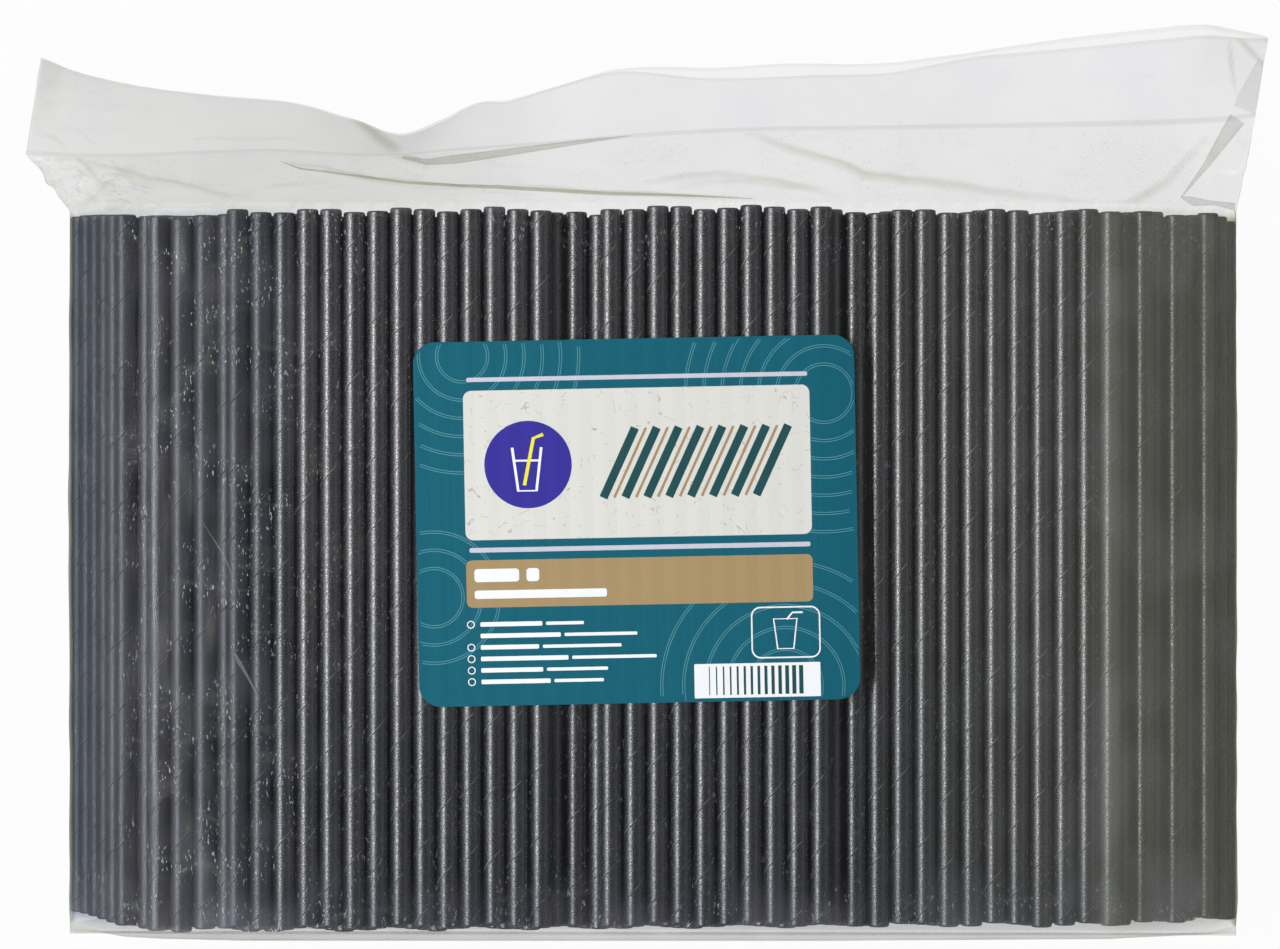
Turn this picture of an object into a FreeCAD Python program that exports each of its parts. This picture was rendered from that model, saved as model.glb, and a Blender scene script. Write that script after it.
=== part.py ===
"""Pack of 500 straight paper drinking straws in a clear film bag with a stuck-on label.

The pack lies on its back. X runs across the straws, Y along them towards the bag's mouth, and Z up.
The origin is on the surface that the pack lies on, under the middle of the bundle. Millimetres.
"""

import FreeCAD, Part
import math
import os

import Sketcher
from FreeCAD import Placement, Rotation, Vector

# Driving dimensions: alias, value, what it is
SIZES = (
    ("StrawDiameter", 6.0, "outside diameter of a straw"),
    ("StrawWall", 0.4, "wall of a straw, three plies of paper"),
    ("StrawLength", 197.0, "length of a straw"),
    ("SideGap", 0.42, "gap between neighbours in one row"),
    ("NestGap", 0.04, "gap between a straw and the two that it nests on"),
    ("EndScatter", 2.0, "how far a straw may have slid along the bundle"),
    ("FilmThickness", 0.08, "one layer of film"),
    ("FilmGap", 0.05, "gap between the film and the straws that hold it out"),
    ("EndGap", 0.3, "gap between the straws' ends and the film that turns over them"),
    ("BottomFold", 2.4, "from the bag's lower turn out to its bottom seam"),
    ("BottomSeam", 0.8, "width of the bottom seam's weld"),
    ("SealLeft", 16.2, "from the bag's upper turn to the seal, at the left"),
    ("SealRight", 25.5, "from the bag's upper turn to the seal, at the right"),
    ("SealRise", 11.0, "how far the seal's middle stands above its ends"),
    ("SealWeld", 1.5, "width of the seal's weld"),
    ("FlapLength", 27.0, "free film from the seal to the mouth"),
    ("FlapLeft", 12.5, "how far the flap stands out past the bag's left side"),
    ("FlapRight", 5.5, "how far the flap stands out past the bag's right side"),
    ("FlapSkew", 4.5, "how far the mouth stands off to the right of the seal"),
    ("MouthGap", 0.5, "gap between the two layers at the mouth"),
    ("FilmPanel", 15.0, "greatest width of one flat panel of the wavy film"),
    ("LabelWidth", 121.0, "label, across the straws"),
    ("LabelHeight", 100.0, "label, along the straws"),
    ("LabelCorner", 6.0, "radius of the label's corners"),
    ("LabelThickness", 0.1, "label paper with its adhesive"),
    ("LabelX", -4.2, "label's middle, across the straws"),
    ("LabelY", 13.6, "label's middle, along the straws"),
    ("LabelTurn", 1.1, "degrees that the label is stuck on askew"),
)

# Rows of nested straws from the bottom up: column of the first straw, and how many places the row has.
# Columns count half pitches, so straws of one row stand two columns apart.
ROWS = (
    (-10, 43),
    (-13, 48),
    (-14, 50),
    (-15, 51),
    (-14, 51),
    (-13, 50),
    (-12, 49),
    (-11, 47),
    (-10, 45),
    (-7, 42),
    (0, 26),
)
EMPTY_TOP_PLACES = (14, 15)

# The flap's droop below the level, in degrees, at shares of the bag's width from left to right
FLAP_DROOP = (
    (0.0, 12),
    (0.07, 38),
    (0.2, 56),
    (0.29, 72),
    (0.36, 57),
    (0.46, 42),
    (0.58, 44),
    (0.7, 42),
    (0.79, 31),
    (0.93, 9),
    (1.0, 30),
)
STEEPEST_TURN = math.radians(35)
CORNERS_AGREE = 0.012
POINTS_MEET = 1e-6


class Values:
    """The spreadsheet's cells, read by their aliases."""

    def __init__(self, sheet):
        self.sheet = sheet

    def __getattr__(self, alias):
        return float(self.sheet.get(alias))


def make_sheet(doc):
    """The spreadsheet that holds the driving dimensions."""
    sheet = doc.addObject("Spreadsheet::Sheet", "Sizes")
    for line, (alias, value, meaning) in enumerate(SIZES, start=1):
        sheet.set(f"A{line}", meaning)
        sheet.set(f"B{line}", str(value))
        sheet.setAlias(f"B{line}", alias)
    doc.recompute()
    return sheet


def origin_plane(body, role):
    """One of a body's own origin planes."""
    return next(f for f in body.Origin.OriginFeatures if f.Role == role)


def make_straw(doc):
    """One straw: a paper tube along Y. The rows link to it."""
    body = doc.addObject("PartDesign::Body", "straw")
    sketch = body.newObject("Sketcher::SketchObject", "straw_section")
    sketch.AttachmentSupport = [(origin_plane(body, "XZ_Plane"), "")]
    sketch.MapMode = "FlatFace"
    bores = (
        ("Sizes.StrawDiameter", 6.0),
        ("Sizes.StrawDiameter - 2 * Sizes.StrawWall", 5.2),
    )
    for expression, diameter in bores:
        circle = Part.Circle(Vector(0, 0, 0), Vector(0, 0, 1), diameter / 2)
        edge = sketch.addGeometry(circle, False)
        sketch.addConstraint(Sketcher.Constraint("Coincident", edge, 3, -1, 1))
        size = sketch.addConstraint(Sketcher.Constraint("Diameter", edge, diameter))
        sketch.setExpression(f"Constraints[{size}]", expression)
    tube = body.newObject("PartDesign::Pad", "straw_tube")
    tube.Profile = sketch
    tube.Midplane = True
    tube.setExpression("Length", "Sizes.StrawLength")
    return body


def middle_column():
    """The column at the middle of the widest rows, which stands at X = 0."""
    first = min(start for start, _ in ROWS)
    last = max(start + 2 * (places - 1) for start, places in ROWS)
    return (first + last) / 2


def end_share(row, column):
    """How far a straw has slid along the bundle, as a share of EndScatter from -1 to 1."""
    drift = math.sin(0.045 * column + 0.5 * row)
    wobble = math.sin(2.3 * column + 4.1 * row)
    push = 0.3 if row == len(ROWS) else -0.1
    return 0.35 * drift + 0.3 * wobble + push


def place_straw(doc, straw, row, column):
    """A link to the straw in its place in the bundle, bound to the sizes."""
    link = doc.addObject("App::Link", f"straw_{row:02d}_{column + 100:03d}")
    link.LinkedObject = straw
    pitch = "(Sizes.StrawDiameter + Sizes.SideGap)"
    rise = f"sqrt((Sizes.StrawDiameter + Sizes.NestGap)^2 - ({pitch} / 2)^2)"
    lowest = "(Sizes.StrawDiameter / 2 + Sizes.FilmGap + Sizes.FilmThickness)"
    link.setExpression("Placement.Base.x", f"{column - middle_column()} * {pitch} / 2")
    link.setExpression("Placement.Base.y", f"{end_share(row, column):.3f} * Sizes.EndScatter")
    link.setExpression("Placement.Base.z", f"{lowest} + {row - 1} * {rise}")
    return link


def make_group(doc, name, links):
    """A node that holds one or more straws as separate solids."""
    group = doc.addObject("Part::Compound", name)
    group.Label = name
    group.Links = links
    return group


def make_bundle(doc, straw):
    """The straws: one node for each row that is covered, one for each straw of the open top row."""
    groups, links = [], []
    for row, (start, places) in enumerate(ROWS, start=1):
        is_top = row == len(ROWS)
        taken = [p for p in range(places) if not (is_top and p in EMPTY_TOP_PLACES)]
        in_row = [place_straw(doc, straw, row, start + 2 * p) for p in taken]
        if is_top:
            for number, link in enumerate(in_row, start=1):
                groups.append(make_group(doc, f"straw_top_{number:02d}", [link]))
        else:
            groups.append(make_group(doc, f"straw_row_{row:02d}", in_row))
        links += in_row
    doc.recompute()
    return groups, [link.Placement.Base for link in links]


def turn_of(o, a, b):
    """Which way the path o, a, b turns in the XZ plane: positive is anticlockwise."""
    return (a.x - o.x) * (b.z - o.z) - (a.z - o.z) * (b.x - o.x)


def convex_hull(centres):
    """The straws that hold the film out, anticlockwise seen against Y."""
    ordered = sorted(centres, key=lambda c: (c.x, c.z))
    hull = []
    for side in (ordered, ordered[::-1]):
        chain = []
        for centre in side:
            while len(chain) > 1 and turn_of(chain[-2], chain[-1], centre) <= POINTS_MEET:
                chain.pop()
            chain.append(centre)
        hull += chain[:-1]
    return hull


def panel_directions(hull):
    """The directions that the film's flat panels face, anticlockwise, with no turn over STEEPEST_TURN
    from one panel to the next."""
    facing = []
    for a, b in zip(hull, hull[1:] + hull[:1]):
        facing.append(math.atan2(a.x - b.x, b.z - a.z) % (2 * math.pi))
    facing.sort()
    full = []
    for a, b in zip(facing, facing[1:] + [facing[0] + 2 * math.pi]):
        steps = math.ceil((b - a) / STEEPEST_TURN)
        full += [a + (b - a) * i / steps for i in range(steps)]
    return full


def film_line(hull, facing, reach):
    """Corners of the film's line round the hull, anticlockwise, reach away from the straws' centres."""
    corners = []
    for a, b in zip(facing, facing[1:] + [facing[0] + 2 * math.pi]):
        x, z = math.cos((a + b) / 2), math.sin((a + b) / 2)
        centre = max(hull, key=lambda c: c.x * x + c.z * z)
        far = reach / math.cos((b - a) / 2)
        corners.append(Vector(centre.x + far * x, 0, centre.z + far * z))
    return corners


def layers_of(line):
    """The upper and the lower layer of a line round the straws, both from its left end to its right."""
    left = min(range(len(line)), key=lambda i: line[i].x)
    right = max(range(len(line)), key=lambda i: line[i].x)
    turned = line[right:] + line[:right]
    middle = (left - right) % len(line)
    over = turned[: middle + 1][::-1]
    under = turned[middle:] + turned[:1]
    return over, under


def corner_shares(layer):
    """The share of a layer's width at each of its corners."""
    total, reached = 0.0, [0.0]
    for a, b in zip(layer, layer[1:]):
        total += a.distanceToPoint(b)
        reached.append(total)
    return [r / total for r in reached]


def between(a, b, share):
    """The value or point at a share of the way from a to b."""
    return a + (b - a) * share


def agreed_shares(first, second):
    """The second layer's corner shares, each moved onto one of the first's if that is close by."""
    agreed, free = [], list(first)
    for share in second:
        nearest = min(free, key=lambda s: abs(s - share))
        if abs(nearest - share) < CORNERS_AGREE:
            free.remove(nearest)
            share = nearest
        agreed.append(share)
    return agreed


def steps_across(corners, step):
    """All corners' shares in order, with steps between them no greater than step."""
    ordered = sorted(set(corners))
    shares = []
    for a, b in zip(ordered, ordered[1:]):
        count = math.ceil((b - a) / step)
        shares += [between(a, b, i / count) for i in range(count)]
    return shares + [ordered[-1]]


def points_on(layer, corners, shares):
    """Points on a layer at the shares, where corners are the shares of the layer's own corners."""
    points = []
    for share in shares:
        side = max(i for i in range(len(corners) - 1) if corners[i] <= share)
        local = (share - corners[side]) / (corners[side + 1] - corners[side])
        points.append(between(layer[side], layer[side + 1], local))
    return points


def ends_moved_in(points, inset):
    """The line of points with both its ends moved in along it."""
    points = list(points)
    for end, beside in ((0, 1), (-1, -2)):
        width = points[end].distanceToPoint(points[beside])
        points[end] = between(points[end], points[beside], inset / width)
    return points


def smooth_table(table, share):
    """A value from a table of (share, value) pairs, eased between them."""
    for (a, low), (b, high) in zip(table, table[1:]):
        if share <= b:
            ease = (1 - math.cos(math.pi * (share - a) / (b - a))) / 2
            return between(low, high, ease)
    return table[-1][1]


class Film:
    """The bag's film: rings of points round it, from the bottom seam to the mouth. A ring has an upper
    and a lower layer, each with the same number of points from left to right."""

    def __init__(self, v, centres):
        self.v = v
        self.hull = convex_hull(centres)
        self.facing = panel_directions(self.hull)
        self.inner = v.StrawDiameter / 2 + v.FilmGap
        self.outer = self.inner + v.FilmThickness
        over, under = layers_of(film_line(self.hull, self.facing, self.outer))
        self.left, self.right = over[0], over[-1]
        first = corner_shares(over)
        self.corners = first, agreed_shares(first, corner_shares(under))
        step = v.FilmPanel / self.left.distanceToPoint(self.right)
        self.shares = steps_across(self.corners[0] + self.corners[1], step)
        self.turn = v.StrawLength / 2 + v.EndScatter + v.EndGap

    def section(self, reach, y):
        """The ring round the straws at y."""
        layers = layers_of(film_line(self.hull, self.facing, reach))
        across = Vector(0, y, 0)
        return [
            [point + across for point in points_on(layer, corners, self.shares)]
            for layer, corners in zip(layers, self.corners)
        ]

    def slit(self, place, half, inset=0.0):
        """The ring where the two layers lie together, each half away from the surface between them,
        with its ends moved in by inset."""
        points, normals = zip(*(place(share) for share in self.shares))
        points = ends_moved_in(points, inset)
        return [
            [point + normal * away for point, normal in zip(points, normals)]
            for away in (half, -half)
        ]

    def inside_weld(self, weld, section):
        """The closed ring just inside a weld, where its layers part towards a section."""
        step = 2 * self.v.FilmThickness
        points = []
        for upper, lower, top, bottom in zip(*weld, *section):
            middle = between(upper, lower, 0.5)
            inwards = between(top, bottom, 0.5) - middle
            points.append(between(middle, middle + inwards, step / inwards.Length))
        points = ends_moved_in(points, step)
        return [points, points]

    def bottom(self, out):
        """The bottom seam, out past the lower turn, from one side crease to the other."""

        def place(share):
            crease = between(self.left, self.right, share)
            return crease + Vector(0, -self.turn - out, 0), Vector(0, 0, 1)

        return place

    def flap(self, out):
        """The seal and the free flap: out along the film from the start of the seal."""
        v = self.v

        def place(share):
            droop = math.radians(smooth_table(FLAP_DROOP, share))
            crease = between(self.left, self.right, share)
            flare = between(-v.FlapLeft, v.FlapRight, share)
            ahead = self.turn + between(v.SealLeft, v.SealRight, share)
            rise = 4 * v.SealRise * share * (1 - share)
            along = Vector(v.FlapSkew / v.FlapLength, math.cos(droop), -math.sin(droop))
            normal = Vector(0, math.sin(droop), math.cos(droop))
            return crease + Vector(flare, ahead, rise) + along * out, normal

        return place

    def outside(self):
        """Rings of the film's outer skin, over the mouth's rim and down between the flap's layers."""
        v, film = self.v, self.v.FilmThickness
        mouth = v.SealWeld + v.FlapLength
        return [
            self.slit(self.bottom(v.BottomFold + v.BottomSeam), film),
            self.slit(self.bottom(v.BottomFold), film),
            self.section(self.outer, -self.turn),
            self.section(self.outer, self.turn),
            self.slit(self.flap(0), film),
            self.slit(self.flap(v.SealWeld), film),
            self.slit(self.flap(mouth), film + v.MouthGap / 2),
            self.slit(self.flap(mouth), v.MouthGap / 2, film),
            self.slit(self.flap(v.SealWeld), 0, film),
        ]

    def inside(self):
        """Rings of the skin round the space that holds the straws."""
        outside, film = self.outside(), self.v.FilmThickness
        return [
            self.inside_weld(outside[1], outside[2]),
            self.section(self.inner, -self.turn + film),
            self.section(self.inner, self.turn - film / 4),
            self.inside_weld(outside[4], outside[3]),
        ]


def triangle(a, b, c):
    """A flat face on three points, or nothing where two of them meet."""
    if min(a.distanceToPoint(b), b.distanceToPoint(c), c.distanceToPoint(a)) < POINTS_MEET:
        return []
    return [Part.Face(Part.makePolygon([a, b, c, a]))]


def strip(first, second):
    """Triangles between two lines of points. The diagonals run outwards from the middle on the line
    nearer to the bag's middle, so that the film's two skins are divided alike."""
    if abs(second[0].y) < abs(first[0].y):
        first, second = second, first
    faces = []
    middle = len(first) // 2
    for i, (a, b, c, d) in enumerate(zip(first, first[1:], second[1:], second)):
        if i < middle:
            faces += triangle(a, b, d) + triangle(b, c, d)
        else:
            faces += triangle(a, b, c) + triangle(a, c, d)
    return faces


def skin(rings):
    """A closed solid through rings of two layers each, closed across its first and last ring."""
    faces = strip(*rings[0]) + strip(*rings[-1])
    for one, other in zip(rings, rings[1:]):
        for layer, next_layer in zip(one, other):
            faces += strip(layer, next_layer)
        for end in (0, -1):
            faces += strip([one[0][end], other[0][end]], [one[1][end], other[1][end]])
    shell = Part.Shell(faces)
    shell.sewShape()
    solid = Part.Solid(Part.Shell(shell.Faces))
    if solid.Volume < 0:
        solid.reverse()
    return solid


def make_bag(doc, film):
    """The film bag: one closed skin of film, welded along its bottom seam and its seal."""
    bag = doc.addObject("Part::Feature", "film_bag")
    bag.Label = "film_bag"
    bag.Shape = skin(film.outside()).cut(skin(film.inside())).removeSplitter()
    return bag


def label_layer(film, thickness):
    """The space that a sheet of this thickness takes up when it lies all round the film."""
    faces = []
    for reach in (film.outer, film.outer + thickness):
        line = film_line(film.hull, film.facing, reach)
        faces.append(Part.Face(Part.makePolygon(line + line[:1])))
    ends = Vector(0, film.turn, 0)
    return faces[1].cut(faces[0]).translated(-ends).extrude(2 * ends)


def make_label_outline(doc, v):
    """A prism with the label's outline, stuck on askew."""
    body = doc.addObject("PartDesign::Body", "label_outline")
    sketch = body.newObject("Sketcher::SketchObject", "label_shape")
    sketch.AttachmentSupport = [(origin_plane(body, "XY_Plane"), "")]
    sketch.MapMode = "FlatFace"
    corners = [Vector(-1, -1, 0), Vector(1, -1, 0), Vector(1, 1, 0), Vector(-1, 1, 0)]
    for a, b in zip(corners, corners[1:] + corners[:1]):
        sketch.addGeometry(Part.LineSegment(a * v.LabelHeight / 2, b * v.LabelHeight / 2), False)
    for edge in range(4):
        sketch.addConstraint(
            Sketcher.Constraint("Coincident", edge, 2, (edge + 1) % 4, 1)
        )
        level = "Horizontal" if edge % 2 == 0 else "Vertical"
        sketch.addConstraint(Sketcher.Constraint(level, edge))
    sketch.addConstraint(Sketcher.Constraint("Symmetric", 0, 1, 1, 2, -1, 1))
    width = sketch.addConstraint(Sketcher.Constraint("DistanceX", 0, 1, 0, 2, v.LabelWidth))
    height = sketch.addConstraint(Sketcher.Constraint("DistanceY", 1, 1, 1, 2, v.LabelHeight))
    sketch.setExpression(f"Constraints[{width}]", "Sizes.LabelWidth")
    sketch.setExpression(f"Constraints[{height}]", "Sizes.LabelHeight")
    prism = body.newObject("PartDesign::Pad", "label_prism")
    prism.Profile = sketch
    prism.setExpression("Length", f"{len(ROWS)} * Sizes.StrawDiameter")
    doc.recompute()
    rounded = body.newObject("PartDesign::Fillet", "label_corners")
    upright = [
        f"Edge{number}"
        for number, edge in enumerate(prism.Shape.Edges, start=1)
        if abs(edge.tangentAt(edge.FirstParameter).z) > 0.99
    ]
    rounded.Base = (prism, upright)
    rounded.setExpression("Radius", "Sizes.LabelCorner")
    body.setExpression("Placement.Base.x", "Sizes.LabelX")
    body.setExpression("Placement.Base.y", "Sizes.LabelY")
    body.setExpression("Placement.Base.z", f"{len(ROWS) // 2} * Sizes.StrawDiameter")
    body.setExpression("Placement.Rotation.Angle", "Sizes.LabelTurn")
    return body


def make_label(doc, film):
    """The paper label, lying on the film over the top row."""
    layer = doc.addObject("Part::Feature", "label_layer")
    layer.Shape = label_layer(film, film.v.LabelThickness)
    label = doc.addObject("Part::Common", "label")
    label.Label = "label"
    label.Base = layer
    label.Tool = make_label_outline(doc, film.v)
    return label


def check(doc, nodes):
    """Stops if anything in the document failed, or a node's shape is empty or not valid."""
    for item in doc.Objects:
        if {"Invalid", "Error"} & set(item.State):
            raise RuntimeError(f"{item.Name} failed: {item.State}")
    for node in nodes:
        if node.Shape.isNull() or not node.Shape.isValid() or not node.Shape.Solids:
            raise RuntimeError(f"{node.Label} has no valid solid")


def main():
    doc = FreeCAD.newDocument("straw_pack")
    sheet = make_sheet(doc)
    straw = make_straw(doc)
    doc.recompute()
    groups, centres = make_bundle(doc, straw)
    film = Film(Values(sheet), centres)
    nodes = groups + [make_bag(doc, film), make_label(doc, film)]
    doc.recompute()
    check(doc, nodes)
    os.makedirs("parts", exist_ok=True)
    for node in nodes:
        node.Shape.exportStep(os.path.join("parts", f"{node.Label}.step"))
    print(f"{len(nodes)} nodes, {len(centres)} straws, {film.right.x - film.left.x:.1f} mm wide")
    return doc, nodes


main()
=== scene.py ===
"""Looks of the pack of paper straws: black paper tubes, clear creased film and a printed label.

Lengths in this script are millimetres in the part's frame, and become metres as a mesh is made.
"""

import math

import bmesh
import bpy
import numpy as np
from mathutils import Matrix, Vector, noise
from mathutils.bvhtree import BVHTree


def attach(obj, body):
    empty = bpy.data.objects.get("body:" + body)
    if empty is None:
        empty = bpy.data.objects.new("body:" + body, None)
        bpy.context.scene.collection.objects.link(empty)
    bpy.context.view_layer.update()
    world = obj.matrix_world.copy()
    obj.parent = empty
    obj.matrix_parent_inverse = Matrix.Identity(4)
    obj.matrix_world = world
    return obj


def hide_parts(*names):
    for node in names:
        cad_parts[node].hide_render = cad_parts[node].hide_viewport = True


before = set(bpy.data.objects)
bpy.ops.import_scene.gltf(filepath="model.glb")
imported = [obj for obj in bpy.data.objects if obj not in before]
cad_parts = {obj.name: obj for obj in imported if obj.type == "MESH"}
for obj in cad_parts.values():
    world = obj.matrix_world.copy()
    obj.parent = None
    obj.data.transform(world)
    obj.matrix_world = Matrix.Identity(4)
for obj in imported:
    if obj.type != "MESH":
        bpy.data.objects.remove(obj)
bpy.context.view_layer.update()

MM = 0.001
STRAW_R = 3.0
STRAW_WALL = 0.4
STRAW_PITCH = 6.42
TOP_ROW_Z = 54.29
# Sides of a tube in the covered rows and in the open top row
ROW_SIDES = 18
TOP_SIDES = 32

# The film lies half its own thickness inside the CAD bag's outer face
FILM_REACH = STRAW_R + 0.09
# Where the film turns over the straws' ends, and how far its bottom fold and seam lie beyond
TURN = 100.8
BOTTOM_FOLD = 2.4
BOTTOM_END = 3.2
# The weld past the straws: its ends beside and beyond the side creases, its rise and its width
SEAL_LEFT = (-12.5, 16.2)
SEAL_RIGHT = (5.5, 25.5)
SEAL_RISE = 11.0
SEAL_WELD = 1.5
FLAP_LENGTH = 27.0
# Half the space between the layers at the seam and the weld, and its growth up to the mouth
SEAM_GAP = 0.04
WELD_GAP = 0.05
MOUTH_GAP = 0.35
# Where the film over the right-hand straws begins to lie double, and how gradually
DOUBLED_FROM = 148
DOUBLED_RUN = 10
# How far above the bag its folded-over strips lie, and the length of their faces
STRIP_RISE = 0.15
STRIP_STEP = 1.2
# Steps of the film's bend round each straw that holds it out
BEND_STEPS = 6

LABEL_SIZE = (121.0, 100.0)
LABEL_CORNER = 6.0
LABEL_MIDDLE = (-4.2, 13.6)
LABEL_TURN = math.radians(1.1)
LABEL_Z = 57.42
LABEL_THICK = 0.1
# Right of this place no straw of the top row carries the label, and it bends down
LABEL_BEND_X = 46.6
LABEL_BEND = math.radians(3.6)
LABEL_WAVE = 0.035
# From and to where the label is cut into bands, the print's margin, and the rise of each layer of it
LABEL_CUTS = (-60, 62)
PRINT_MARGIN = 0.3
PRINT_STEP = 0.03

# The photo's camera, with its focal length in the photo's own pixels
CAMERA_MM = (-3.3, 26.3, TOP_ROW_Z + 1100.0)
FOCAL_PIXELS = 4000.0
PHOTO_WIDTH = 1280.0
SENSOR_MM = 36.0

# In metres: where the lamps point, and half the floor's side
LIT_PLACE = (0, 0.02, 0.05)
FLOOR_HALF = 6.0


# Small helpers


def table_value(table, share):
    """A value from (share, value) pairs, on a smooth curve through them."""
    at = [s for s, _ in table]
    values = [v for _, v in table]
    share = min(max(share, at[0]), at[-1])
    i = next(k for k in range(len(at) - 1) if share <= at[k + 1])

    def slope(k):
        """How steeply the curve passes the pair k."""
        before, after = max(k - 1, 0), min(k + 1, len(at) - 1)
        return (values[after] - values[before]) / (at[after] - at[before])

    run = at[i + 1] - at[i]
    t = (share - at[i]) / run
    start, end = slope(i) * run, slope(i + 1) * run
    rest = values[i + 1] - values[i]
    return values[i] + t * (start + t * (3 * rest - 2 * start - end + t * (start + end - 2 * rest)))


def smooth_step(low, high, value):
    """0 up to low and 1 from high on, smooth between them; low may be the larger."""
    share = np.clip((value - low) / (high - low), 0, 1)
    return share * share * (3 - 2 * share)


def noise_at(x, y, z):
    """Smooth noise from about -1 to 1."""
    return noise.noise(Vector((x, y, z)))


def new_piece(name, points, faces, material, smooth=True):
    """A mesh object from points in millimetres, riding on the pack."""
    mesh = bpy.data.meshes.new(name)
    mesh.from_pydata((np.asarray(points, float) * MM).tolist(), [], faces)
    mesh.update()
    if smooth:
        mesh.polygons.foreach_set("use_smooth", [True] * len(mesh.polygons))
    piece = bpy.data.objects.new(name, mesh)
    bpy.context.scene.collection.objects.link(piece)
    piece.data.materials.append(material)
    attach(piece, "root")
    return piece


def store(mesh, name, values, kind="FLOAT"):
    """A value for each point of a mesh, for its material to read."""
    layer = mesh.attributes.new(name, kind, "POINT")
    key = "value" if kind == "FLOAT" else "vector"
    layer.data.foreach_set(key, np.asarray(values, np.float32).ravel())


# Materials


class Nodes:
    """Builds one material's node tree in few words."""

    def __init__(self, name):
        """An empty material of this name."""
        self.material = bpy.data.materials.new(name)
        self.material.use_nodes = True
        self.tree = self.material.node_tree
        self.tree.nodes.clear()

    def add(self, kind, **settings):
        """A new node of this kind."""
        node = self.tree.nodes.new(kind)
        for key, value in settings.items():
            setattr(node, key, value)
        return node

    def link(self, source, target):
        """Links an output to an input."""
        self.tree.links.new(source, target)

    def feed(self, socket, value):
        """Links an input to another node's output, or sets it to a plain value."""
        if isinstance(value, bpy.types.NodeSocket):
            self.link(value, socket)
        else:
            socket.default_value = value

    def put(self, node, **sockets):
        """Sets or links a node's inputs, named with underscores for spaces."""
        for key, value in sockets.items():
            self.feed(node.inputs[key.replace("_", " ")], value)
        return node

    def math(self, operation, *values, clamp=False):
        """One step of arithmetic."""
        node = self.add("ShaderNodeMath", operation=operation, use_clamp=clamp)
        for socket, value in zip(node.inputs, values):
            self.feed(socket, value)
        return node.outputs[0]

    def parts(self, vector):
        """The three numbers of a vector."""
        return self.put(self.add("ShaderNodeSeparateXYZ"), Vector=vector).outputs

    def attribute(self, name, output="Fac"):
        """A value stored at the mesh's points."""
        return self.add("ShaderNodeAttribute", attribute_name=name).outputs[output]

    def noise(self, vector, scale, detail, roughness=0.5, distortion=0.0):
        """Noise from 0 to 1 with this many turns to the metre."""
        node = self.add("ShaderNodeTexNoise")
        self.put(node, Vector=vector, Scale=scale, Detail=detail, Roughness=roughness)
        self.put(node, Distortion=distortion)
        return node.outputs["Fac"]

    def between(self, value, low, high, new_low=0.0, new_high=1.0):
        """A value carried smoothly from one range to another."""
        node = self.add("ShaderNodeMapRange", interpolation_type="SMOOTHSTEP")
        self.put(node, Value=value)
        node.inputs["From Min"].default_value = low
        node.inputs["From Max"].default_value = high
        node.inputs["To Min"].default_value = new_low
        node.inputs["To Max"].default_value = new_high
        return node.outputs[0]

    def mix(self, share, one, other):
        """A colour between two others."""
        node = self.add("ShaderNodeMix", data_type="RGBA")
        for socket, value in ((node.inputs[0], share), (node.inputs[6], one), (node.inputs[7], other)):
            self.feed(socket, value)
        return node.outputs[2]

    def blend(self, share, one, other):
        """A shader between two others."""
        node = self.add("ShaderNodeMixShader")
        for socket, source in zip(node.inputs, (share, one, other)):
            self.link(source, socket)
        return node.outputs[0]

    def scaled(self, vector, x, y, z, turn):
        """A place drawn out along its axes, then turned about the upright one."""
        node = self.add("ShaderNodeMapping")
        self.put(node, Vector=vector)
        node.inputs["Scale"].default_value = (x, y, z)
        node.inputs["Rotation"].default_value = (0, 0, turn)
        return node.outputs[0]

    def object_place(self):
        """The place on the object in metres."""
        return self.add("ShaderNodeTexCoord").outputs["Object"]

    def bump(self, height, distance, strength):
        """Relief from a height between 0 and 1."""
        node = self.add("ShaderNodeBump")
        self.put(node, Height=height, Distance=distance, Strength=strength)
        return node.outputs[0]

    def surface(self, **sockets):
        """A Principled shader."""
        shader = self.put(self.add("ShaderNodeBsdfPrincipled"), **sockets)
        return shader.outputs[0]

    def finish(self, shader):
        """The material with this shader on its surface."""
        output = self.add("ShaderNodeOutputMaterial")
        self.link(shader, output.inputs["Surface"])
        return self.material


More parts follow.
